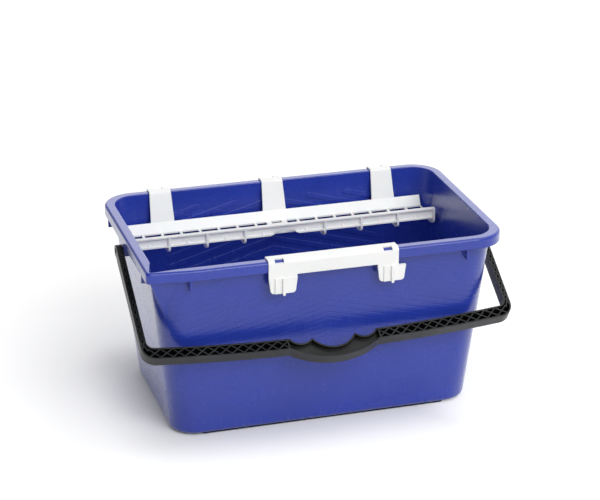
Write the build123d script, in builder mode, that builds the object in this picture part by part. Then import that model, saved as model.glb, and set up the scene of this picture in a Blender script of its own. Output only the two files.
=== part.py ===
from build123d import *

import os
from math import acos, atan, atan2, cos, degrees, floor, hypot, radians, sin, sqrt, tan

os.makedirs("parts", exist_ok=True)

# Window cleaning bucket, millimetres. +X runs along the bucket's length, -Y is the front
# that the handle hangs in front of, +Z is up. The origin is on the floor at the base's centre.

# Tub: a tapered rectangular pail with a turned-down rim
rim_length = 480.0
rim_depth = 297.0
tub_height = 245.0
base_length = 407.0
base_depth = 238.0
corner_radius = 35.0
wall = 2.6
floor_thickness = 4.6
floor_radius = 8.0
rim_overhang = 10.5
rim_thickness = 3.0
rim_corner = 42.0
rim_radius = 3.5
mouth_radius = 1.4
skirt_height = 14.0
skirt_thickness = 2.5
base_radius = 7.0
foot_height = 2.0
foot_side_inset = 4.5
foot_end_inset = 34.5
foot_corner = 8.0

# Pouring spout in the front left corner
spout_height = 80.0
spout_straight = 10.0
spout_side = 50.0
spout_front = 48.0
spout_side_lip = 4.6
spout_front_lip = 10.6
spout_radius = 2.5
spout_rim_corner = 6.0
spout_rim_reach = 60.0
spout_rim_recess = 7.0
spout_rim_bend = 80.0

# Raised chevrons on the two long inside walls
chevron_pitch = 14.3
chevron_slope = 15.0
chevron_width = 6.6
chevron_relief = 0.9
chevron_top_drop = 25.5
chevron_floor_gap = 34.0
chevron_margin = 20.0

# Gussets under the rim
gusset_thickness = 3.0
gusset_drop = 28.5
gusset_bite = 0.5
gusset_count = 4
gusset_margin = 10.5
end_gusset_margin = 2.0

# Handle lugs and their stub pins
pivot_drop = 23.0
lug_width = 18.0
lug_drop = 5.2
pin_radius = 4.0
pin_clearance = 0.05
pin_short = 1.0

# Bail handle, a latticed channel
arm_gap = 0.8
arm_width = 8.4
handle_thickness = 16.0
bar_width = 16.0
bail_gap = 11.5
bail_bow = 13.0
bail_rest_gap = 2.4
bail_outer_radius = 20.0
bail_inner_radius = 10.0
handle_wall = 2.0
handle_floor = 3.0
handle_edge = 1.5
lattice_pitch = 15.0
lattice_rib = 1.6
arm_lattice_pitch = 11.0
eye_solid = 14.0

# Grip in the middle of the bail
grip_length = 120.0
grip_bulge = 18.5
grip_recess = 6.0
grip_floor = 3.5
grip_shoulder = 3.5
peak_drop = 1.2
peak_radius = 1.5
palm_width = 57.0
palm_depth = 16.8
finger_depth = 7.0

# Strainer tray hung on the back rim by three straps
rim_play = 0.3
strainer_thickness = 2.2
strap_inset = 54.0
strap_top_width = 29.5
strap_foot_width = 34.0
strap_drop = 37.6
strap_lean = 12.0
hook_drop = 12.0
hook_bend = 4.0
hook_slot = 11.0
hook_slot_back = 8.0
plate_drop = 13.4
plate_run = 7.0
plate_gap = 0.8
tray_width = 48.5
tray_end_gap = 4.6
front_height = 15.0
flange_depth = 6.2
tray_rib = 3.1
small_rib = 2.4
small_rib_height = 4.5
rib_hang = 9.5
rib_run = 23.0
rib_foot_radius = 9.0
centre_bay = 60.6
bay_count = 7
drain_bridge = 3.4
drain_margin = 1.5
drain_lens = 15.0
drain_lens_depth = 8.0
drain_lens_gap = 6.8
arch_width = 40.0
arch_height = 5.0

# Tool clip on the front rim
clip_length = 172.6
clip_offset = 1.2
clip_thickness = 2.3
clip_drop = 18.5
clip_lip = 8.0
clip_bend = 5.0
clip_slot_length = 12.0
clip_slot_inset = 8.3
clip_slot_back = 7.8
clip_slot_depth = 4.1
leg_overshoot = 9.5
leg_top_width = 37.5
leg_foot_width = 32.0
leg_drop = 24.0
leg_corner = 4.5
pad_start = 8.0
pad_relief = 1.6
pad_drop = 3.0
spine_start = 17.4
spine_width = 3.6
spine_relief = 4.5
spine_drop = 2.2

# Cuts run past the surface they open, the spout's pyramid ends in a small root, and a corner
# is picked where it lies this near to its place
cut_past = 2.0
spout_root = 0.03
same_place = 0.01
peak_near = 0.5

# Derived places shared by several pieces
rim_x = rim_length / 2
rim_y = rim_depth / 2
mouth_x = rim_x - rim_overhang
mouth_y = rim_y - rim_overhang
taper_x = (mouth_x - base_length / 2) / (tub_height - foot_height)
taper_y = (mouth_y - base_depth / 2) / (tub_height - foot_height)
lean = atan(taper_y)
skirt_bottom = tub_height - skirt_height
pivot_z = tub_height - pivot_drop


def outer_x(z):
    """Half length of the outside of the wall at height z."""
    return base_length / 2 + taper_x * (z - foot_height)


def outer_y(z):
    """Half depth of the outside of the wall at height z."""
    return base_depth / 2 + taper_y * (z - foot_height)


def middle_x(z):
    """Half length to the middle of the wall's thickness at height z."""
    return outer_x(z) - wall / 2


def middle_y(z):
    """Half depth to the middle of the wall's thickness at height z."""
    return outer_y(z) - wall / 2


def corner_x(y, z):
    """Half length of the inside at depth y and height z, in the rounded corners too."""
    inner_radius = corner_radius - wall
    past_straight = max(0.0, y - (outer_y(z) - wall - inner_radius))
    return outer_x(z) - wall - inner_radius + sqrt(inner_radius**2 - past_straight**2)


def pyramid(points, apex, share):
    """Points of a plan outline drawn together towards an apex."""
    return [
        (apex[0] + (x - apex[0]) * share, apex[1] + (y - apex[1]) * share)
        for x, y in points
    ]


# Spout: a pyramid that grows out of the rounded corner and runs straight up at the rim
corner_cut = corner_radius * (1 - sqrt(0.5))
spout_z = tub_height - spout_height
spout_shoulder = tub_height - spout_straight
spout_tip_x = rim_x - spout_side_lip
spout_tip_y = rim_y - spout_front_lip
spout_inside = [
    (-outer_x(spout_shoulder) + wall, -rim_y + spout_side),
    (-spout_tip_x, -spout_tip_y),
    (-rim_x + spout_front, -outer_y(spout_shoulder) + wall),
    (-rim_x + spout_front, -rim_y + spout_side),
]
spout_outside = [
    (-outer_x(spout_shoulder), -rim_y + spout_side + wall),
    (-spout_tip_x - wall, -spout_tip_y - wall),
    (-rim_x + spout_front + wall, -outer_y(spout_shoulder)),
    (-rim_x + spout_front + wall, -rim_y + spout_side + wall),
]
spout_apex = (
    -outer_x(spout_z) + corner_cut + wall,
    -outer_y(spout_z) + corner_cut + wall,
)
front_left = Axis((0, 0, 0), (1, 1, 0))

with BuildPart() as spout_shell:
    for height, share in ((spout_z, spout_root), (spout_shoulder, 1.0), (tub_height, 1.0)):
        with BuildSketch(Plane.XY.offset(height)) as spout_plan:
            with BuildLine():
                Polyline(*pyramid(spout_outside, spout_apex, share), close=True)
            make_face()
            fillet(spout_plan.vertices().sort_by(front_left)[0], spout_radius * share)
    loft(ruled=True)

# Space inside the tub, spout included
mouth_top = tub_height + cut_past
with BuildPart() as cavity:
    for height in (floor_thickness, mouth_top):
        with BuildSketch(Plane.XY.offset(height)):
            RectangleRounded(
                2 * (outer_x(height) - wall), 2 * (outer_y(height) - wall), corner_radius - wall
            )
    loft(ruled=True)
    fillet(cavity.edges().group_by(Axis.Z)[0], floor_radius)

with BuildPart() as spout_space:
    for height, share in ((spout_z + 2 * wall, spout_root), (spout_shoulder, 1.0), (mouth_top, 1.0)):
        with BuildSketch(Plane.XY.offset(height)) as spout_plan:
            with BuildLine():
                Polyline(*pyramid(spout_inside, spout_apex, share), close=True)
            make_face()
            fillet(spout_plan.vertices().sort_by(front_left)[0], spout_radius * share)
    loft(ruled=True)

# Outline of the rim: three wide corners, and a front edge that bends back to the spout's tip
with BuildSketch() as rim_outline:
    with BuildLine():
        Polyline(
            (-rim_x, rim_y),
            (rim_x, rim_y),
            (rim_x, -rim_y),
            (-rim_x + spout_rim_reach, -rim_y),
            (-rim_x, -rim_y + spout_rim_recess),
            close=True,
        )
    make_face()
    fillet(rim_outline.vertices().sort_by(front_left)[2:], rim_corner)
    fillet(rim_outline.vertices().sort_by(front_left)[1], spout_rim_bend)
    fillet(rim_outline.vertices().sort_by(front_left)[0], spout_rim_corner)

# Chevrons, drawn on the back wall and mirrored to the front one
chevron_top = tub_height - chevron_top_drop
chevron_half = base_length / 2 - corner_radius - chevron_margin
chevron_fall = tan(radians(chevron_slope))
chevron_low = floor_thickness + chevron_floor_gap
chevron_plane = Plane(
    origin=(0, outer_y(chevron_top) - wall, chevron_top),
    x_dir=(1, 0, 0),
    z_dir=(0, -cos(lean), sin(lean)),
)
chevron_legs = []
apex_drop = -chevron_pitch * floor(chevron_half * chevron_fall / chevron_pitch)
while apex_drop < chevron_top - chevron_low - chevron_pitch:
    start = max(0.0, -apex_drop / chevron_fall)
    end = min(chevron_half, (chevron_top - chevron_low - apex_drop) / chevron_fall)
    if end - start > chevron_pitch:
        for side in (-1, 1):
            middle = (start + end) / 2
            spot = (side * middle, -apex_drop - middle * chevron_fall)
            reach = (end - start) / cos(radians(chevron_slope))
            chevron_legs.append((spot, -side * chevron_slope, reach))
    apex_drop += chevron_pitch

with BuildPart() as chevrons:
    with BuildSketch(chevron_plane.offset(-wall / 2)):
        for spot, turn, reach in chevron_legs:
            with Locations(spot):
                SlotCenterToCenter(reach, chevron_width, rotation=turn)
    extrude(amount=wall / 2 + chevron_relief)
    mirror(about=Plane.XZ)

with BuildPart() as tub:
    # Tapered body with a rounded lower edge on a low flat foot
    for height in (foot_height, tub_height):
        with BuildSketch(Plane.XY.offset(height)):
            RectangleRounded(2 * outer_x(height), 2 * outer_y(height), corner_radius)
    loft(ruled=True)
    fillet(tub.edges().group_by(Axis.Z)[0], base_radius)
    with BuildSketch():
        RectangleRounded(
            base_length - 2 * foot_end_inset,
            base_depth - 2 * foot_side_inset,
            foot_corner,
        )
    extrude(amount=floor_thickness)
    add(spout_shell.part)

    # Flat rim with a skirt turned down all round
    with BuildSketch(Plane.XY.offset(tub_height - rim_thickness)):
        add(rim_outline.sketch)
    extrude(amount=rim_thickness)
    with BuildSketch(Plane.XY.offset(skirt_bottom)):
        add(rim_outline.sketch)
        offset(rim_outline.sketch, amount=-skirt_thickness, mode=Mode.SUBTRACT)
    extrude(amount=skirt_height)
    fillet(tub.faces().sort_by(Axis.Z)[-1].outer_wire().edges(), rim_radius)

    # Hollow inside
    add(cavity.part, mode=Mode.SUBTRACT)
    add(spout_space.part, mode=Mode.SUBTRACT)
    fillet(tub.faces().sort_by(Axis.Z)[-1].inner_wires()[0].edges(), mouth_radius)
    add(chevrons.part)

    # Gussets between the wall and the skirt, front and back
    gusset_z = tub_height - gusset_drop
    gusset_top = tub_height - rim_thickness / 2
    gusset_step = 2 * (mouth_x - corner_radius - gusset_margin) / (gusset_count - 1)
    gusset_reach = rim_y - skirt_thickness + gusset_bite
    for index in range(gusset_count):
        gusset_x = (index - (gusset_count - 1) / 2) * gusset_step
        with BuildSketch(Plane.YZ.offset(gusset_x)):
            for side in (-1, 1):
                with BuildLine():
                    Polyline(
                        (side * middle_y(gusset_z), gusset_z),
                        (side * middle_y(gusset_top), gusset_top),
                        (side * gusset_reach, gusset_top),
                        (side * gusset_reach, gusset_z),
                        close=True,
                    )
                make_face()
        extrude(amount=gusset_thickness / 2, both=True)

    # Gussets at the two ends
    end_gusset_y = mouth_y - corner_radius - end_gusset_margin
    end_gusset_reach = rim_x - skirt_thickness + gusset_bite
    for gusset_y in (-end_gusset_y, end_gusset_y):
        with BuildSketch(Plane.XZ.offset(-gusset_y)):
            for side in (-1, 1):
                with BuildLine():
                    Polyline(
                        (side * middle_x(gusset_z), gusset_z),
                        (side * middle_x(gusset_top), gusset_top),
                        (side * end_gusset_reach, gusset_top),
                        (side * end_gusset_reach, gusset_z),
                        close=True,
                    )
                make_face()
        extrude(amount=gusset_thickness / 2, both=True)

    # Lugs flush with the rim, and the handle's stub pins on them
    lug_z = pivot_z - lug_drop
    lug_top = tub_height - rim_radius
    with BuildSketch(Plane.XZ):
        for side in (-1, 1):
            with BuildLine():
                Polyline(
                    (side * middle_x(lug_z), lug_z),
                    (side * middle_x(lug_top), lug_top),
                    (side * rim_x, lug_top),
                    (side * rim_x, lug_z),
                    close=True,
                )
            make_face()
    extrude(amount=lug_width / 2, both=True)
    pin_end = rim_x + arm_gap + arm_width - pin_short
    pin_root = rim_x - 2 * skirt_thickness
    for side in (-1, 1):
        with BuildSketch(Plane.YZ.offset(side * pin_root)):
            with Locations((0, pivot_z)):
                Circle(pin_radius)
        extrude(amount=side * (pin_end - pin_root))

tub.part.label = "tub"
export_step(tub.part, "parts/tub.step")

# Handle, drawn flat in the bail's own plane: x along the bucket, -y away from the pivots
arm_inner = rim_x + arm_gap
arm_outer = arm_inner + arm_width
reach_end = rim_y + bail_gap
reach_middle = reach_end + bail_bow
pin_hole = pin_radius + pin_clearance

# The bail hangs at the angle that leaves the rest gap between its bar and the front wall
wall_far = cos(lean) * outer_y(0) + sin(lean) * pivot_z
swing = acos((wall_far + bail_rest_gap) / hypot(reach_end, handle_thickness / 2))
rest = swing - atan2(handle_thickness / 2, reach_end) + lean
bail_plane = Plane(
    origin=(0, 0, pivot_z), x_dir=(1, 0, 0), z_dir=(0, -sin(rest), cos(rest))
)
bail_top = bail_plane.offset(handle_thickness / 2)
bail_bottom = bail_plane.offset(-handle_thickness / 2)
grip_half = grip_length / 2


def bar_inner(x):
    """Distance of the bar's inner edge from the pivots, at x along the bar."""
    return reach_middle - bail_bow * (x / arm_inner) ** 2


def outside_bail(point):
    """Whether a point of the bail's plane is on its outer edge."""
    beyond_bar = -point.Y > bar_inner(point.X) + bar_width - handle_wall
    return beyond_bar or abs(point.X) > arm_outer - handle_wall


def scallop(width, depth):
    """Radius of the arc that is width across its chord and depth deep."""
    return (width**2 / 4 + depth**2) / (2 * depth)


with BuildSketch() as bail_outline:
    with BuildLine():
        Polyline(
            (-arm_inner, -reach_end),
            (-arm_inner, 0),
            (-arm_outer, 0),
            (-arm_outer, -reach_end - bar_width),
        )
        ThreePointArc(
            (-arm_outer, -reach_end - bar_width),
            (0, -reach_middle - bar_width),
            (arm_outer, -reach_end - bar_width),
        )
        Polyline(
            (arm_outer, -reach_end - bar_width),
            (arm_outer, 0),
            (arm_inner, 0),
            (arm_inner, -reach_end),
        )
        ThreePointArc(
            (arm_inner, -reach_end), (0, -reach_middle), (-arm_inner, -reach_end)
        )
    make_face()
    low_corners = bail_outline.vertices().sort_by(Axis.Y)[:2]
    fillet(low_corners, bail_outer_radius)
    inner_corners = bail_outline.vertices().filter_by(
        lambda v: abs(abs(v.X) - arm_inner) < same_place and v.Y < -reach_end / 2
    )
    fillet(inner_corners, bail_inner_radius)
    # Swollen grip, with one wide and two narrow scallops along its inner edge
    grip_low = bar_inner(grip_half) + bar_width
    with BuildLine():
        ThreePointArc(
            (-grip_half, -grip_low),
            (0, -grip_low - grip_bulge),
            (grip_half, -grip_low),
        )
        Polyline(
            (grip_half, -grip_low),
            (grip_half, -bar_inner(grip_half) - handle_wall),
            (-grip_half, -bar_inner(grip_half) - handle_wall),
            (-grip_half, -grip_low),
        )
    make_face()
    peak = reach_middle + peak_drop
    palm_radius = scallop(palm_width, palm_depth)
    with Locations((0, -peak - palm_depth + palm_radius)):
        Circle(palm_radius, mode=Mode.SUBTRACT)
    finger_width = grip_half - grip_shoulder - palm_width / 2
    finger_radius = scallop(finger_width, finger_depth)
    finger_x = (palm_width + finger_width) / 2
    with Locations(
        (-finger_x, -peak - finger_depth + finger_radius),
        (finger_x, -peak - finger_depth + finger_radius),
    ):
        Circle(finger_radius, mode=Mode.SUBTRACT)
    peaks = bail_outline.vertices().filter_by(
        lambda v: abs(abs(v.X) - palm_width / 2) < peak_near and abs(v.Y + peak) < peak_near
    )
    fillet(peaks, peak_radius)

# Diagonal ribs of the lattice, two to a cell, along the bar and along the arms
bar_pocket = bar_width - 2 * handle_wall
bar_span = arm_inner - grip_half
bar_cells = max(1, round(bar_span / lattice_pitch))
bar_step = bar_span / bar_cells
arm_pocket = arm_width - 2 * handle_wall
arm_span = reach_end - eye_solid
arm_cells = max(1, round(arm_span / arm_lattice_pitch))
arm_step = arm_span / arm_cells
lattice_spots = []
for index in range(bar_cells):
    cell_x = grip_half + (index + 0.5) * bar_step
    cell_y = -bar_inner(cell_x) - bar_width / 2
    tilt = degrees(atan(2 * bail_bow * cell_x / arm_inner**2))
    cross = degrees(atan2(bar_pocket, bar_step))
    for side in (-1, 1):
        for turn in (-cross, cross):
            place = Location((side * cell_x, cell_y, 0), (0, 0, side * (tilt + turn)))
            lattice_spots.append(place)
for index in range(arm_cells):
    cell_y = -eye_solid - (index + 0.5) * arm_step
    cross = degrees(atan2(arm_step, arm_pocket))
    for side in (-1, 1):
        for turn in (-cross, cross):
            place = Location((side * (arm_inner + arm_width / 2), cell_y, 0), (0, 0, turn))
            lattice_spots.append(place)

with BuildSketch(bail_top) as lattice:
    add(bail_outline.sketch)
    offset(amount=-handle_wall, mode=Mode.REPLACE)
    Rectangle(grip_length + 2 * handle_wall, 4 * reach_end, mode=Mode.SUBTRACT)
    with Locations((0, eye_solid)):
        Rectangle(4 * rim_length, 4 * eye_solid, mode=Mode.SUBTRACT)
    with Locations(*lattice_spots):
        Rectangle(hypot(bar_pocket, bar_step) + handle_wall, lattice_rib, mode=Mode.SUBTRACT)
lattice_cells = lattice.sketch.faces().filter_by(lambda f: f.area > lattice_rib**2)

with BuildPart() as handle:
    with BuildSketch(bail_bottom):
        add(bail_outline.sketch)
    extrude(amount=handle_thickness)
    # Rounded lower edge along the outside of the bail
    outer_edges = handle.edges().filter_by(
        lambda e: abs(bail_plane.to_local_coords(e.center()).Z + handle_thickness / 2) < same_place
        and outside_bail(bail_plane.to_local_coords(e.center()))
    )
    fillet(outer_edges, handle_edge)
    # Rounded ends with the pin holes
    for side in (-1, 1):
        with BuildSketch(Plane.YZ.offset(side * arm_inner)):
            with Locations((0, pivot_z)):
                Circle(handle_thickness / 2)
        extrude(amount=side * arm_width)
    # Open channel of the bar and the arms, crossed by the lattice
    extrude(lattice_cells, amount=handle_floor - handle_thickness, mode=Mode.SUBTRACT)
    # Shallow tray on top of the grip, and the core below it
    with BuildSketch(bail_top):
        add(bail_outline.sketch)
        offset(amount=-handle_wall, mode=Mode.REPLACE)
        Rectangle(grip_length, 4 * reach_end, mode=Mode.INTERSECT)
    extrude(amount=-grip_recess, mode=Mode.SUBTRACT)
    with BuildSketch(bail_bottom):
        add(bail_outline.sketch)
        offset(amount=-handle_wall, mode=Mode.REPLACE)
        Rectangle(grip_length, 4 * reach_end, mode=Mode.INTERSECT)
    extrude(amount=handle_thickness - grip_recess - grip_floor, mode=Mode.SUBTRACT)
    with BuildSketch(Plane.YZ):
        with Locations((0, pivot_z)):
            Circle(pin_hole)
    extrude(amount=2 * arm_outer, both=True, mode=Mode.SUBTRACT)

handle.part.label = "handle"
export_step(handle.part, "parts/handle.step")

# Strainer: hooks over the back rim, straps, slanting back plate and a slotted tray
hook_under = tub_height + rim_play
hook_top = hook_under + strainer_thickness
strap_back = outer_y(tub_height) - wall - rim_play
strap_front = strap_back - strainer_thickness
hook_inner = rim_y + rim_play
hook_outer = hook_inner + strainer_thickness
foot_y = strap_front - strap_lean
foot_z = tub_height - strap_drop
tray_back = foot_y - plate_run
tray_top = foot_z - plate_drop
tray_under = tray_top - strainer_thickness
tray_front = tray_back - tray_width
front_top = tray_under + front_height
web_front = tray_front + flange_depth - strainer_thickness
web_back = tray_front + flange_depth
tray_half = outer_x(tray_under) - wall - tray_end_gap
plate_slope = hypot(plate_run, plate_drop)
plate_shift_y = strainer_thickness * plate_drop / plate_slope
plate_shift_z = strainer_thickness * plate_run / plate_slope
plate_back = tray_back + (strainer_thickness * (plate_slope - plate_run)) / plate_drop
plate_half = corner_x(foot_y + plate_shift_y, foot_z - plate_shift_z) - plate_gap
strap_rise = hook_top - foot_z
strap_slope = hypot(strap_lean, strap_rise)
strap_shift_y = strainer_thickness * strap_rise / strap_slope
strap_shift_z = strainer_thickness * strap_lean / strap_slope
strap_shoulder = foot_y + strap_shift_y + (hook_under - foot_z + strap_shift_z) * strap_lean / strap_rise
strap_x = plate_half - strap_inset
bay = (tray_half - tray_rib / 2 - centre_bay / 2) / bay_count

with BuildPart() as strap:
    with BuildSketch(Plane.YZ) as strap_side:
        with BuildLine():
            Polyline(
                (strap_front, hook_top),
                (foot_y, foot_z),
                (foot_y + plate_shift_y, foot_z - plate_shift_z),
                (foot_y + strap_shift_y, foot_z - strap_shift_z),
                (strap_shoulder, hook_under),
                (hook_inner, hook_under),
                (hook_inner, tub_height - hook_drop),
                (hook_outer, tub_height - hook_drop),
                (hook_outer, hook_top),
                close=True,
            )
        make_face()
        fillet(strap_side.vertices().group_by(Axis.Y)[-1], hook_bend)
        inner_bends = strap_side.vertices().filter_by(
            lambda v: abs(v.Y - hook_under) < same_place
        )
        fillet(inner_bends, hook_bend - strainer_thickness)
    extrude(amount=strap_foot_width / 2, both=True)
    with BuildSketch(Plane.XZ):
        with BuildLine():
            Polyline(
                (-strap_top_width / 2, hook_top),
                (strap_top_width / 2, hook_top),
                (strap_foot_width / 2, foot_z - plate_drop),
                (-strap_foot_width / 2, foot_z - plate_drop),
                close=True,
            )
        make_face()
    extrude(amount=2 * rim_depth, both=True, mode=Mode.INTERSECT)
    # Slot moulded through the bend of the hook
    with BuildSketch(Plane.XY.offset(hook_top)):
        with Locations((0, hook_outer)):
            Rectangle(hook_slot, 2 * hook_slot_back)
    extrude(amount=-hook_bend, mode=Mode.SUBTRACT)

# Cross ribs of the tray: tall ones and low ones in turn, out from the centre bay
tall_ribs = []
low_ribs = []
for index in range(bay_count + 1):
    rib_x = centre_bay / 2 + index * bay
    for side in (-1, 1):
        if index % 2:
            tall_ribs.append(side * rib_x)
        else:
            low_ribs.append(side * rib_x)

with BuildPart() as strainer:
    # Back plate and slotted floor
    with BuildSketch(Plane.YZ):
        with BuildLine():
            Polyline(
                (foot_y, foot_z),
                (tray_back, tray_top),
                (web_back, tray_top),
                (web_back, tray_under),
                (plate_back, tray_under),
                (foot_y + plate_shift_y, foot_z - plate_shift_z),
                close=True,
            )
        make_face()
    extrude(amount=plate_half, both=True)
    # Front bar, a channel that opens to the front
    with BuildSketch(Plane.YZ):
        with BuildLine():
            Polyline(
                (web_back, tray_under),
                (web_back, front_top),
                (tray_front, front_top),
                (tray_front, front_top - strainer_thickness),
                (web_front, front_top - strainer_thickness),
                (web_front, tray_top),
                (tray_front, tray_top),
                (tray_front, tray_under),
                close=True,
            )
        make_face()
    extrude(amount=tray_half, both=True)
    # Tall ribs close the channel and hang below the floor with a rounded foot
    for rib_x in tall_ribs:
        with BuildSketch(Plane.YZ.offset(rib_x)) as rib_side:
            with BuildLine():
                Polyline(
                    (tray_front, front_top - strainer_thickness / 2),
                    (web_back - strainer_thickness / 2, front_top - strainer_thickness / 2),
                    (web_back - strainer_thickness / 2, tray_under + strainer_thickness / 2),
                    (web_back + rib_run, tray_under + strainer_thickness / 2),
                    (web_back + rib_run - rib_hang, tray_under - rib_hang),
                    (tray_front, tray_under - rib_hang),
                    close=True,
                )
            make_face()
            fillet(
                rib_side.vertices().group_by(Axis.Y)[0].sort_by(Axis.X)[0],
                rib_foot_radius,
            )
        extrude(amount=tray_rib / 2, both=True)
    for rib_x in low_ribs:
        with BuildSketch(Plane.YZ.offset(rib_x)):
            with BuildLine():
                Polyline(
                    (tray_front, tray_top - strainer_thickness / 2),
                    (web_front + strainer_thickness / 2, tray_top - strainer_thickness / 2),
                    (web_front + strainer_thickness / 2, tray_top + small_rib_height),
                    close=True,
                )
            make_face()
        extrude(amount=small_rib / 2, both=True)
    # Drain slots between the ribs, and a short lens in the centre bay
    drain_near = web_back + drain_margin
    drain_far = tray_back
    drain_y = (drain_near + drain_far) / 2
    drain_depth = drain_far - drain_near
    half_slot = (centre_bay - drain_lens) / 2 - drain_lens_gap - drain_bridge / 2
    half_slot_x = (drain_lens + half_slot) / 2 + drain_lens_gap
    with BuildSketch(Plane.XY.offset(tray_top)):
        for side in (-1, 1):
            for index in range(bay_count):
                slot_low = centre_bay / 2 + index * bay + drain_bridge / 2
                slot_high = min(slot_low + bay - drain_bridge, plate_half - drain_margin)
                with Locations((side * (slot_low + slot_high) / 2, drain_y)):
                    Rectangle(slot_high - slot_low, drain_depth)
            with Locations((side * half_slot_x, drain_y)):
                Rectangle(half_slot, drain_depth)
        with Locations((0, drain_far - drain_lens_depth / 2)):
            Rectangle(drain_lens, drain_lens_depth)
    extrude(amount=-strainer_thickness, mode=Mode.SUBTRACT)
    # Shallow arch in the middle of the front bar's lower edge
    arch_radius = scallop(arch_width, arch_height)
    with BuildSketch(Plane.XZ.offset(-web_back - drain_margin / 2)):
        with Locations((0, tray_under + arch_height - arch_radius)):
            Circle(arch_radius)
    extrude(amount=flange_depth + drain_margin, mode=Mode.SUBTRACT)
    with Locations((-strap_x, 0, 0), (0, 0, 0), (strap_x, 0, 0)):
        add(strap.part)

strainer.part.label = "strainer"
export_step(strainer.part, "parts/strainer.step")

# Tool clip: a strip bent over the front rim, with two prongs below its face
clip_under = tub_height + rim_play
clip_top = clip_under + clip_thickness
clip_lip_outer = outer_y(tub_height - clip_lip) - wall - rim_play
clip_lip_inner = clip_lip_outer - clip_thickness
clip_face_inner = rim_y + rim_play
clip_face = clip_face_inner + clip_thickness
clip_low = tub_height - clip_drop
leg_top = clip_low - pad_drop
leg_low = clip_low - leg_drop
neck_top = clip_low + clip_thickness
leg_taper = (leg_top_width - leg_foot_width) / 2
clip_start = clip_offset - clip_length / 2
clip_end = clip_offset + clip_length / 2
leg_starts = [clip_start, clip_end + leg_overshoot - leg_top_width]
face_plane = Plane.XZ.offset(clip_face_inner)

with BuildPart() as clip:
    with BuildSketch(Plane.YZ.offset(clip_offset)) as clip_side:
        with BuildLine():
            Polyline(
                (-clip_lip_inner, clip_top),
                (-clip_face, clip_top),
                (-clip_face, clip_low),
                (-clip_face_inner, clip_low),
                (-clip_face_inner, clip_under),
                (-clip_lip_outer, clip_under),
                (-clip_lip_outer, tub_height - clip_lip),
                (-clip_lip_inner, tub_height - clip_lip),
                close=True,
            )
        make_face()
        fillet(clip_side.vertices().group_by(Axis.Y)[-1].sort_by(Axis.X)[0], clip_bend)
        fillet(clip_side.vertices().group_by(Axis.Y)[-1].sort_by(Axis.X)[-1], clip_thickness)
        inner_bend = clip_side.vertices().filter_by(
            lambda v: abs(v.Y - clip_under) < same_place
        )
        fillet(inner_bend.sort_by(Axis.X)[0], clip_bend - clip_thickness)
    extrude(amount=clip_length / 2, both=True)
    # Two slots moulded through the bend
    slot_inset = clip_slot_inset + clip_slot_length / 2
    with BuildSketch(Plane.XY.offset(clip_top)):
        with Locations((clip_start + slot_inset, -clip_face), (clip_end - slot_inset, -clip_face)):
            Rectangle(clip_slot_length, 2 * clip_slot_back)
    extrude(amount=-clip_slot_depth, mode=Mode.SUBTRACT)
    # Prongs: a tapering tongue on a short neck, with a raised pad and a spine
    for leg_x in leg_starts:
        leg_end = leg_x + leg_top_width
        neck_end = min(leg_end, clip_end)
        with BuildSketch(face_plane) as tongue:
            with BuildLine():
                Polyline(
                    (leg_x, leg_top),
                    (leg_x + leg_taper, leg_low),
                    (leg_end - leg_taper, leg_low),
                    (leg_end, leg_top),
                    close=True,
                )
            make_face()
            fillet(tongue.vertices().group_by(Axis.Y)[0], leg_corner)
        extrude(amount=clip_thickness)
        with BuildSketch(face_plane):
            with Locations(((leg_x + neck_end) / 2, (leg_top + neck_top) / 2)):
                Rectangle(neck_end - leg_x, neck_top - leg_top)
        extrude(amount=clip_thickness)
        with BuildSketch(face_plane):
            add(tongue.sketch_local)
            with Locations(((leg_x + pad_start + leg_end) / 2, (leg_top + leg_low) / 2)):
                Rectangle(leg_end - leg_x - pad_start, leg_top - leg_low, mode=Mode.INTERSECT)
        extrude(amount=clip_thickness + pad_relief)
        with BuildSketch(face_plane):
            spine_x = leg_x + spine_start + spine_width / 2
            spine_low = leg_low - spine_drop
            with Locations((spine_x, (leg_top + spine_low) / 2)):
                SlotOverall(leg_top - spine_low, spine_width, rotation=90)
        extrude(amount=clip_thickness + spine_relief)

clip.part.label = "clip"
export_step(clip.part, "parts/clip.step")
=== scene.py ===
"""Window cleaning bucket: the finishes of its four mouldings, the stage and the camera."""

import math

import bpy
from bpy.props import FloatProperty, FloatVectorProperty, PointerProperty
from mathutils import Matrix, Vector


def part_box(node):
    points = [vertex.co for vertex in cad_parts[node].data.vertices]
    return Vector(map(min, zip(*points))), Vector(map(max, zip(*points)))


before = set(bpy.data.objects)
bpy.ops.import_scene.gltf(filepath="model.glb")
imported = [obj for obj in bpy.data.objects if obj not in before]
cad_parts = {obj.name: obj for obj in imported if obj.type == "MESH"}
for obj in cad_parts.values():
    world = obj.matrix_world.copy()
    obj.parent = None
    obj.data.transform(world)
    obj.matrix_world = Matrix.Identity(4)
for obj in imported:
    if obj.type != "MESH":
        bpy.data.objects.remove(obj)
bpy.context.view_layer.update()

bl_info = {
    "name": "Window cleaning bucket",
    "version": (1, 0, 0),
    "blender": (4, 5, 0),
    "location": "View3D > Sidebar > Bucket",
    "description": "Gives the bucket its moulded plastic finishes and sets up a pale studio",
    "category": "3D View",
}

TUB_HALF_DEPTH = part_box("tub")[1].y


def colour_property(name, description, default):
    """A colour that a user would change, as linear values."""
    return FloatVectorProperty(
        name=name, description=description, default=default, subtype="COLOR", size=3, min=0, max=1
    )


def share_property(name, description, default):
    """A number from 0 to 1 that a user would change."""
    return FloatProperty(
        name=name, description=description, default=default, subtype="FACTOR", min=0, max=1
    )


def length_property(name, description, default):
    """A length in metres that a user would change."""
    return FloatProperty(
        name=name, description=description, default=default, unit="LENGTH", min=0, precision=5
    )


def power_property(name, description, default):
    """The power of a lamp in watts."""
    return FloatProperty(name=name, description=description, default=default, min=0, unit="POWER")


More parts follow.
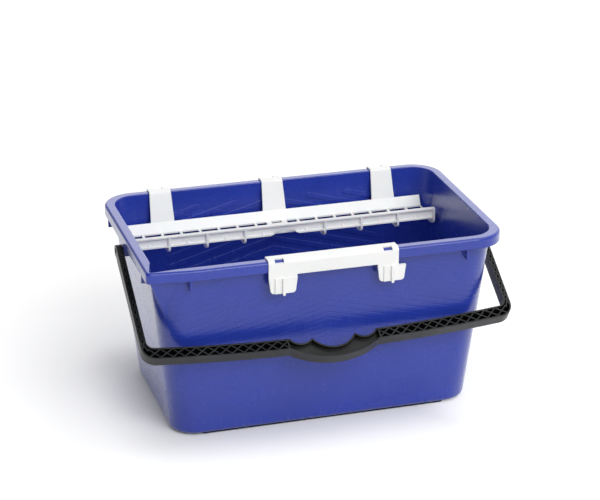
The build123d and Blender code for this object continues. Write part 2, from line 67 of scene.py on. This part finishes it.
def place_property(name, description, default):
    """A place on the stage in metres."""
    return FloatVectorProperty(
        name=name, description=description, default=default, subtype="TRANSLATION", size=3
    )


class TubFinish(bpy.types.PropertyGroup):
    """The glossy blue plastic of the tub."""

    blue: colour_property("Blue", "Pigment of the tub", (0.0165, 0.0390, 0.335))
    # This pale blue is painted along the edges as a highlight, and also tints the hairlines
    pale: colour_property("Pale blue", "Pigment thinned along the edges", (0.045, 0.080, 0.440))
    # Painted contact shadow: this colour darkens the foot up to the foot height, where the foot is
    # also dulled
    foot_shadow: colour_property("Foot shadow", "Foot dulled by wet floors", (0.004, 0.005, 0.020))
    foot_high: length_property("Foot height", "Height up to which the foot is dulled", 0.0026)
    roughness: share_property("Roughness", "Roughness of the moulded walls", 0.27)
    edge: length_property("Edge", "Radius that edges are seen to have", 0.0009)
    # Share of the painted highlight along the edges
    edge_wear_and_highlight: share_property("Edge wear and highlight", "Share of the pale blue along edges", 0.55)
    marks: share_property("Marks", "Share of the pale blue in the hairlines", 0.04)
    peel: length_property("Peel", "Depth of the waves in the walls", 0.000006)
    grain: length_property("Grain", "Depth of the fine grain", 0.0000008)
    rib_pitch: length_property("Rib pitch", "Spacing of the sink lines", 0.0080)
    rib_slope: FloatProperty(
        name="Rib slope",
        description="Fall of the sink lines away from the middle",
        default=math.radians(15),
        subtype="ANGLE",
    )
    rib_sink: length_property("Rib sink", "Depth of the sink lines on the outside", 0.00013)


class HandleFinish(bpy.types.PropertyGroup):
    """The black plastic of the handle."""

    black: colour_property("Black", "Pigment of the handle", (0.014, 0.015, 0.015))
    # The deep tone is painted shade in the hollows
    deep: colour_property("Deep", "Tone in the hollows of the handle", (0.003, 0.003, 0.003))
    # This colour is real wear in the rubbed patches and a painted highlight along the edges
    worn_and_highlight: colour_property("Worn and highlight", "Rubbed edges of the handle", (0.070, 0.072, 0.072))
    roughness: share_property("Roughness", "Roughness of the handle's faces", 0.36)
    edge: length_property("Edge", "Radius that edges are seen to have", 0.0009)
    rub: share_property("Rub", "Share of the worn tone in the rubbed patches", 0.30)
    # These two shares set the lighter edges, partly wear and partly painted highlight
    edge_wear_and_highlight: share_property("Edge wear and highlight", "Share of the worn tone along all edges", 0.35)
    edge_rub: share_property("Edge rub", "Share added along edges in the rubbed patches", 0.45)
    # Reach of the painted shade in the hollows
    hollow_shade: length_property("Hollow shade", "Reach of the deep tone in the hollows", 0.014)
    speck: length_property("Speck", "Depth of the coarse grain", 0.00005)
    grain: length_property("Grain", "Depth of the fine grain", 0.000015)


class WhiteFinish(bpy.types.PropertyGroup):
    """The white plastic of the strainer and the clip."""

    white: colour_property("White", "Pigment of the white parts", (0.90, 0.90, 0.89))
    shade: colour_property("Shade", "Tone in the corners of the white parts", (0.74, 0.75, 0.76))
    roughness: share_property("Roughness", "Roughness of the white parts", 0.38)
    edge: length_property("Edge", "Radius that edges are seen to have", 0.0006)
    corner: length_property("Corner", "Reach of the shade in the corners", 0.006)
    corner_shade: share_property("Corner shade", "Share of the shade deep in corners", 0.25)
    cloud_shade: share_property("Cloud shade", "Share of the shade in soft clouds", 0.10)
    speck: length_property("Speck", "Depth of the coarse grain", 0.00004)
    grain: length_property("Grain", "Depth of the fine grain", 0.00001)


class StageSetup(bpy.types.PropertyGroup):
    """Floor, light and camera."""

    floor: colour_property("Floor", "Colour of the floor as it is seen", (0.95, 0.95, 0.95))
    bounce: colour_property("Bounce", "Floor's colour as it lights the bucket", (0.56, 0.56, 0.56))
    floor_size: length_property("Floor size", "Side of the square floor", 24.0)
    floor_cloud: share_property("Floor clouds", "Share of black in the floor's clouds", 0.015)
    floor_glow: share_property("Floor glow", "White added to the floor where it is seen", 0.24)
    glow_reach: length_property("Glow reach", "Distance from the base to the full glow", 0.11)
    sky: share_property("Sky", "Strength of the even light", 0.52)
    sky_dim: share_property("Dim sky", "Strength of what gloss mirrors on the camera's side", 0.14)
    key: power_property("Key", "Power of the large lamp at the right", 60)
    key_place: place_property("Key place", "Place of the large lamp at the right", (2.4, -1.2, 4.2))
    key_size: length_property("Key size", "Side of the large lamp at the right", 4.0)
    fill: power_property("Fill", "Power of the lamp in front", 131)
    fill_place: place_property("Fill place", "Place of the lamp in front", (0.85, -4.05, 2.9))
    fill_size: length_property("Fill size", "Side of the lamp in front", 3.0)
    rear: power_property("Rear", "Power of the lamp behind", 18)
    rear_place: place_property("Rear place", "Place of the lamp behind", (1.2, 3.6, 2.0))
    rear_size: length_property("Rear size", "Side of the lamp behind", 3.0)
    base_half: FloatVectorProperty(
        name="Base",
        description="Half the length and depth of the base on the floor",
        default=(0.19, 0.11),
        unit="LENGTH",
        size=2,
    )
    eye: place_property("Camera", "Place of the camera", (-0.7461, -2.4990, 1.2552))
    sight: FloatVectorProperty(
        name="Sight",
        description="Direction that the camera looks in",
        default=(0.2653, 0.8875, -0.3767),
        subtype="DIRECTION",
        size=3,
    )
    lens: FloatProperty(
        name="Lens",
        description="Focal length of the camera in millimetres",
        default=126.4,
        min=1,
        unit="CAMERA",
    )


class Flow:
    """A node's output, whose arithmetic adds Math nodes."""

    def __init__(self, look, socket):
        self.look = look
        self.socket = socket

    def __add__(self, other):
        return self.look.math("ADD", self, other)

    def __sub__(self, other):
        return self.look.math("SUBTRACT", self, other)

    def __rsub__(self, other):
        return self.look.math("SUBTRACT", other, self)

    def __mul__(self, other):
        return self.look.math("MULTIPLY", self, other)

    def __truediv__(self, other):
        return self.look.math("DIVIDE", self, other)

    def __rtruediv__(self, other):
        return self.look.math("DIVIDE", other, self)

    def __mod__(self, other):
        return self.look.math("FLOORED_MODULO", self, other)

    def __rmod__(self, other):
        return self.look.math("FLOORED_MODULO", other, self)

    def __abs__(self):
        return self.look.math("ABSOLUTE", self)

    __radd__ = __add__
    __rmul__ = __mul__


# Fall of the rolled normal's cosine over which the edge mask rises
EDGE_FALL = (0.02, 0.30)
# Samples of the nodes that look for edges and for corners
EDGE_SAMPLES = 6
CORNER_SAMPLES = 8
# Level that Blender's noise lies about
NOISE_MIDDLE = 0.5


class Look:
    """One material or world and the nodes that make it."""

    def __init__(self, owner):
        self.owner = owner
        owner.use_nodes = True
        self.tree = owner.node_tree
        self.tree.nodes.clear()

    def node(self, kind, settings=None, values=None, out=0):
        """Adds a node, sets its settings, then its sockets' values or links, and gives one output."""
        made = self.tree.nodes.new(kind)
        for name, setting in (settings or {}).items():
            setattr(made, name, setting)
        for name, value in (values or {}).items():
            if isinstance(value, Flow):
                self.tree.links.new(value.socket, made.inputs[name])
            else:
                made.inputs[name].default_value = value
        return Flow(self, made.outputs[out]) if made.outputs else None

    def math(self, operation, *values):
        """A Math node on numbers and outputs."""
        return self.node("ShaderNodeMath", {"operation": operation}, dict(enumerate(values)))

    def object_place(self):
        """Object coordinates as one vector and as three numbers."""
        place = self.node("ShaderNodeTexCoord", out="Object")
        return place, self.parts(place)

    def parts(self, vector):
        """The three numbers of a vector."""
        split = self.node("ShaderNodeSeparateXYZ", values={0: vector})
        return [Flow(self, socket) for socket in split.socket.node.outputs]

    def noise(self, place, scale, detail=2.0):
        """Soft noise with scale cells to the metre, and finer layers where detail is higher."""
        return self.node(
            "ShaderNodeTexNoise", values={"Vector": place, "Scale": scale, "Detail": detail}
        )

    def streaks(self, place, cells, turn=(0, 0, 0)):
        """Noise with its own number of cells to the metre along each axis, turned by radians."""
        stretched = self.node(
            "ShaderNodeMapping", values={"Vector": place, "Scale": cells, "Rotation": turn}
        )
        return self.noise(stretched, scale=1.0)

    def spread(self, noise, width):
        """Noise as a change about 0, for a roughness."""
        return (noise - NOISE_MIDDLE) * width

    def step(self, value, low, high):
        """Rises smoothly from 0 at low to 1 at high."""
        return self.node(
            "ShaderNodeMapRange",
            {"interpolation_type": "SMOOTHSTEP"},
            {"Value": value, "From Min": low, "From Max": high},
        )

    def mix(self, share, first, second):
        """One colour turning into another."""
        first, second = (
            colour if isinstance(colour, Flow) else (*colour, 1) for colour in (first, second)
        )
        return self.node(
            "ShaderNodeMix",
            {"data_type": "RGBA"},
            {"Factor": share, 6: first, 7: second},
            out=2,
        )

    def rolled_normal(self, radius):
        """A normal that rolls over the edges."""
        return self.node("ShaderNodeBevel", {"samples": EDGE_SAMPLES}, {"Radius": radius})

    def edges(self, rolled):
        """Rises from 0 on faces to 1 on the edges that the normal rolls over."""
        flat = self.node("ShaderNodeNewGeometry", out="Normal")
        facing = self.node(
            "ShaderNodeVectorMath", {"operation": "DOT_PRODUCT"}, {0: rolled, 1: flat}, out="Value"
        )
        return self.step(1 - facing, *EDGE_FALL)

    def shelter(self, reach):
        """Rises from 0 on open faces to 1 deep in corners."""
        return 1 - self.node(
            "ShaderNodeAmbientOcclusion",
            {"samples": CORNER_SAMPLES},
            {"Distance": reach},
            out="AO",
        )

    def bump(self, height, depth, normal):
        """The normal with a height of 0 to 1 that stands for a depth in metres."""
        return self.node(
            "ShaderNodeBump", values={"Distance": depth, "Height": height, "Normal": normal}
        )

    def close(self, shader, kind="ShaderNodeOutputMaterial"):
        """Links the shader to the output and gives the finished material or world."""
        self.node(kind, values={"Surface": shader})
        return self.owner


def new_look(name):
    """A new material with no nodes yet."""
    return Look(bpy.data.materials.new(name))


def dress(node, material):
    """Gives a moulding its finish."""
    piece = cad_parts[node]
    piece.data.materials.clear()
    piece.data.materials.append(material)


# Cells to the metre of the hairlines, and the levels of that noise over which they come in
HAIRLINE_CELLS = (900, 900, 14)
HAIRLINE_LEVELS = (0.66, 0.74)
# Turn of each set of hairlines in radians, and how much the set counts
HAIRLINE_SETS = (((0.2, 0.5, 0.1), 0.6), ((1.3, 0.2, 0.4), 0.4))


def handling_marks(look, place):
    """Fine straight scratches in soft patches, 0 to 1."""
    patches = look.step(look.noise(place, scale=11.0, detail=3.0), low=0.50, high=0.72)
    hairlines = sum(
        look.step(look.streaks(place, HAIRLINE_CELLS, turn), *HAIRLINE_LEVELS) * share
        for turn, share in HAIRLINE_SETS
    )
    return patches * hairlines


# Heights over which the sink lines fade in and out, in metres
SINK_FADE_IN = (0.06, 0.14)
SINK_FADE_OUT = (0.205, 0.225)
# How far from the middle of a pitch, in half pitches, the wall starts to sink and is deepest
SINK_SIDES = (0.55, 0.95)
# How far out a wall is an outer one, in half depths of the tub
OUTER_WALL = (0.54, 0.60)


def sink_lines(look, finish, x, y, z):
    """Height of the outer long walls: 0 along the chevrons of the sink lines, 1 between them."""
    outward_y = look.parts(look.node("ShaderNodeTexCoord", out="Normal"))[1]
    rise = z + abs(x) * math.tan(finish.rib_slope)
    from_middle = abs((rise / finish.rib_pitch) % 1.0 - 0.5) * 2
    outside = look.step(outward_y * y, *(share * TUB_HALF_DEPTH for share in OUTER_WALL))
    between = look.step(z, *SINK_FADE_IN) * (1 - look.step(z, *SINK_FADE_OUT))
    return (1 - look.step(from_middle, *SINK_SIDES)) * outside * between


# Cells to the metre of the lines along which the plastic flowed, and of the waves in the walls
FLOW_CELLS = (6, 6, 40)
PEEL_CELLS = (90, 90, 6)
# Share of the clouds in the pigment's pattern, with the flow lines as the rest
CLOUD_SHARE = 0.6
# How much lighter the light pigment is than the plain blue
PIGMENT_LIFT = 1.16
# Share of the foot's height above which its painted shadow and dulling fade
FOOT_FADE = 0.8
# What the hairlines and the dulled foot add to the roughness
MARK_ROUGHNESS = 0.05
FOOT_ROUGHNESS = 0.5


def blue_plastic(finish):
    """Glossy pigmented plastic, with sink lines outside the ribs, light handling marks, a painted
    highlight along its edges and a painted shadow on its foot.
    """
    look = new_look("blue_plastic")
    place, (x, y, z) = look.object_place()
    rolled = look.rolled_normal(finish.edge)
    cloud = look.noise(place, scale=7.0, detail=3.0)
    flow = look.streaks(place, FLOW_CELLS)
    peel = look.streaks(place, PEEL_CELLS)
    grain = look.noise(place, scale=1500.0, detail=1.0)
    marks = handling_marks(look, place)
    # Mask of the foot: painted contact shadow in the colour, with more roughness and no coat
    foot = 1 - look.step(z, FOOT_FADE * finish.foot_high, finish.foot_high)

    pattern = cloud * CLOUD_SHARE + flow * (1 - CLOUD_SHARE)
    light_blue = [PIGMENT_LIFT * channel for channel in finish.blue]
    tone = look.mix(look.step(pattern, low=0.35, high=0.70), finish.blue, light_blue)
    # Painted highlight: pale blue along the edges
    tone = look.mix(look.edges(rolled) * finish.edge_wear_and_highlight, tone, finish.pale)
    tone = look.mix(marks * finish.marks, tone, finish.pale)
    # Painted contact shadow on the foot
    tone = look.mix(foot, tone, finish.foot_shadow)

    rough = finish.roughness + look.spread(flow, width=0.08) + look.spread(peel, width=0.04)
    rough = rough + marks * MARK_ROUGHNESS + foot * FOOT_ROUGHNESS
    normal = look.bump(sink_lines(look, finish, x, y, z), finish.rib_sink, rolled)
    normal = look.bump(peel, finish.peel, normal)
    normal = look.bump(grain, finish.grain, normal)
    shader = look.node(
        "ShaderNodeBsdfPrincipled",
        values={
            "Base Color": tone,
            "Roughness": rough,
            "Normal": normal,
            "IOR": 1.40,
            "Coat Weight": 1 - foot,
            "Coat Roughness": 0.26,
            "Coat IOR": 1.36,
        },
    )
    return look.close(shader)


def black_plastic(finish):
    """Satin black plastic, greyed where hands rub it, with lighter edges that are partly wear and
    partly painted highlight, and painted shade in its hollows.
    """
    look = new_look("black_plastic")
    place, _ = look.object_place()
    rolled = look.rolled_normal(finish.edge)
    cloud = look.noise(place, scale=26.0, detail=3.0)
    speck = look.noise(place, scale=420.0, detail=3.0)
    grain = look.noise(place, scale=1900.0)
    rub = look.step(cloud, low=0.42, high=0.72)
    # Mask of the painted shade in the hollows
    hollow_shade = look.step(look.shelter(finish.hollow_shade), low=0.1, high=0.5)
    # Mask of the lighter edges, partly wear and partly painted highlight
    edge_wear_and_highlight = look.edges(rolled) * (finish.edge_wear_and_highlight + rub * finish.edge_rub)
    tone = look.mix(rub * finish.rub, finish.black, finish.worn_and_highlight)
    # Painted shade in the hollows
    tone = look.mix(hollow_shade, tone, finish.deep)
    # Lighter edges: partly wear, partly painted highlight
    tone = look.mix(edge_wear_and_highlight, tone, finish.worn_and_highlight)
    rough = finish.roughness + look.spread(cloud, width=0.16) + look.spread(speck, width=0.10)
    normal = look.bump(speck, finish.speck, rolled)
    normal = look.bump(grain, finish.grain, normal)
    shader = look.node(
        "ShaderNodeBsdfPrincipled",
        values={"Base Color": tone, "Roughness": rough, "Normal": normal, "IOR": 1.44},
    )
    return look.close(shader)


def white_plastic(finish):
    """Matt white plastic, with painted shade in its corners."""
    look = new_look("white_plastic")
    place, _ = look.object_place()
    cloud = look.noise(place, scale=18.0, detail=3.0)
    speck = look.noise(place, scale=300.0)
    grain = look.noise(place, scale=1600.0)
    # Painted shade in the corners
    corners = look.shelter(finish.corner) * finish.corner_shade
    clouds = look.step(cloud, low=0.45, high=0.75) * finish.cloud_shade
    tone = look.mix(corners, finish.white, finish.shade)
    tone = look.mix(clouds, tone, finish.shade)
    rough = finish.roughness + look.spread(cloud, width=0.12) + look.spread(speck, width=0.08)
    normal = look.bump(speck, finish.speck, look.rolled_normal(finish.edge))
    normal = look.bump(grain, finish.grain, normal)
    shader = look.node(
        "ShaderNodeBsdfPrincipled",
        values={
            "Base Color": tone,
            "Roughness": rough,
            "Normal": normal,
            "IOR": 1.49,
            "Subsurface Weight": 0.12,
            "Subsurface Scale": 0.004,
        },
    )
    return look.close(shader)


class BUCKET_OT_tub(bpy.types.Operator):
    """Gives the tub its glossy blue plastic"""

    bl_idname = "bucket.tub"
    bl_label = "Finish the tub"

    def execute(self, context):
        dress("tub", blue_plastic(context.scene.bucket_tub))
        return {"FINISHED"}


class BUCKET_OT_handle(bpy.types.Operator):
    """Gives the handle its satin black plastic"""

    bl_idname = "bucket.handle"
    bl_label = "Finish the handle"

    def execute(self, context):
        dress("handle", black_plastic(context.scene.bucket_handle))
        return {"FINISHED"}


class BUCKET_OT_white_parts(bpy.types.Operator):
    """Gives the strainer and the clip their white plastic"""

    bl_idname = "bucket.white_parts"
    bl_label = "Finish the strainer and the clip"

    def execute(self, context):
        white = white_plastic(context.scene.bucket_white)
        for node in ("strainer", "clip"):
            dress(node, white)
        return {"FINISHED"}


NO_LIGHT = (0, 0, 0)
FULL_LIGHT = (1, 1, 1)
# Share of the base's half length from which the floor's right side starts to glow
RIGHT_START = 0.6
# Sum of a direction's x and y over which the sky that gloss mirrors turns bright
BRIGHT_SIDE = (0.45, 1.05)


class BUCKET_OT_stage(bpy.types.Operator):
    """Adds the pale floor, the even light, three lamps and the camera"""

    bl_idname = "bucket.stage"
    bl_label = "Set the stage"

    def execute(self, context):
        setup = context.scene.bucket_stage
        self.floor(context, setup)
        self.sky(context, setup)
        self.lamps(context, setup)
        self.camera(context, setup)
        context.scene.view_settings.view_transform = "Standard"
        return {"FINISHED"}

    def rays(self, look):
        """A mask for each kind of ray: from the camera, from gloss and through clear pieces."""
        kinds = ("Is Camera Ray", "Is Glossy Ray", "Is Transmission Ray")
        return [look.node("ShaderNodeLightPath", out=kind) for kind in kinds]

    def glow(self, look, setup, x, y):
        """Rises from 0 under the base to 1 away from it, and along its right side."""
        base_x, base_y = setup.base_half
        beside = look.math("MAXIMUM", abs(x) - base_x, 0)
        before = look.math("MAXIMUM", abs(y) - base_y, 0)
        distance = look.math("SQRT", beside * beside + before * before)
        right = look.step(x, RIGHT_START * base_x, base_x)
        return look.math("MAXIMUM", look.step(distance, 0, setup.glow_reach), right)

    def floor(self, context, setup):
        """A pale floor that keeps the shadow and turns white away from the bucket."""
        bpy.ops.object.select_all(action="DESELECT")
        bpy.ops.mesh.primitive_plane_add(size=setup.floor_size)
        floor = context.object
        floor.name = "floor"
        look = new_look("pale_floor")
        place, (x, y, _) = look.object_place()
        cloud = look.step(look.noise(place, scale=3.0, detail=3.0), low=0.3, high=0.7)
        camera, glossy, through = self.rays(look)
        seen = camera + glossy + through
        tone = look.mix(seen, setup.bounce, setup.floor)
        tone = look.mix(cloud * setup.floor_cloud, tone, NO_LIGHT)
        lift = seen * self.glow(look, setup, x, y) * setup.floor_glow
        matt = look.node("ShaderNodeBsdfDiffuse", values={"Color": tone})
        white = look.mix(lift, NO_LIGHT, FULL_LIGHT)
        glow = look.node("ShaderNodeEmission", values={"Color": white})
        both = look.node("ShaderNodeAddShader", values={0: matt, 1: glow})
        floor.data.materials.append(look.close(both))

    def sky(self, context, setup):
        """Even light, white to the camera, and dim on the camera's side to what mirrors it."""
        world = bpy.data.worlds.new("even_light")
        context.scene.world = world
        look = Look(world)
        x, y, _ = look.parts(look.node("ShaderNodeTexCoord", out="Generated"))
        behind = look.step(x + y, *BRIGHT_SIDE)
        camera, glossy, through = self.rays(look)
        mirrored = setup.sky_dim + behind * (1 - setup.sky_dim)
        strength = setup.sky + glossy * (mirrored - setup.sky)
        strength = strength + look.math("MAXIMUM", camera, through) * (1 - strength)
        tone = look.mix(strength, NO_LIGHT, FULL_LIGHT)
        background = look.node("ShaderNodeBackground", values={"Color": tone})
        look.close(background, "ShaderNodeOutputWorld")

    def lamps(self, context, setup):
        """Three square lamps, each aimed at the bucket."""
        for name in ("key", "fill", "rear"):
            lamp = bpy.data.lights.new(name + "_lamp", "AREA")
            lamp.energy = getattr(setup, name)
            lamp.size = getattr(setup, name + "_size")
            place = Vector(getattr(setup, name + "_place"))
            self.aim(context, lamp, place, -place)

    def camera(self, context, setup):
        """The camera, at the photograph's viewing angle."""
        lens = bpy.data.cameras.new("camera")
        lens.lens = setup.lens
        lens.clip_end = 2 * setup.floor_size
        context.scene.camera = self.aim(context, lens, Vector(setup.eye), Vector(setup.sight))

    def aim(self, context, data, place, sight):
        """Puts a lamp or the camera at a place, looking along a direction."""
        made = bpy.data.objects.new(data.name, data)
        context.scene.collection.objects.link(made)
        turn = sight.to_track_quat("-Z", "Y").to_matrix().to_4x4()
        made.matrix_world = Matrix.Translation(place) @ turn
        return made


class BUCKET_PT_panel(bpy.types.Panel):
    """Lists the bucket's operators and settings"""

    bl_label = "Window cleaning bucket"
    bl_idname = "BUCKET_PT_panel"
    bl_space_type = "VIEW_3D"
    bl_region_type = "UI"
    bl_category = "Bucket"

    def draw(self, context):
        for operator, group in STEPS:
            box = self.layout.box()
            box.operator(operator)
            settings = getattr(context.scene, group)
            for name in settings.__annotations__:
                box.prop(settings, name)


STEPS = (
    ("bucket.tub", "bucket_tub"),
    ("bucket.handle", "bucket_handle"),
    ("bucket.white_parts", "bucket_white"),
    ("bucket.stage", "bucket_stage"),
)
GROUPS = {
    "bucket_tub": TubFinish,
    "bucket_handle": HandleFinish,
    "bucket_white": WhiteFinish,
    "bucket_stage": StageSetup,
}
CLASSES = (
    *GROUPS.values(),
    BUCKET_OT_tub,
    BUCKET_OT_handle,
    BUCKET_OT_white_parts,
    BUCKET_OT_stage,
    BUCKET_PT_panel,
)


def register():
    for made in CLASSES:
        bpy.utils.register_class(made)
    for name, group in GROUPS.items():
        setattr(bpy.types.Scene, name, PointerProperty(type=group))


def unregister():
    for name in GROUPS:
        delattr(bpy.types.Scene, name)
    for made in reversed(CLASSES):
        bpy.utils.unregister_class(made)


def main():
    register()
    bpy.ops.bucket.tub()
    bpy.ops.bucket.handle()
    bpy.ops.bucket.white_parts()
    bpy.ops.bucket.stage()


if __name__ == "__main__":
    main()
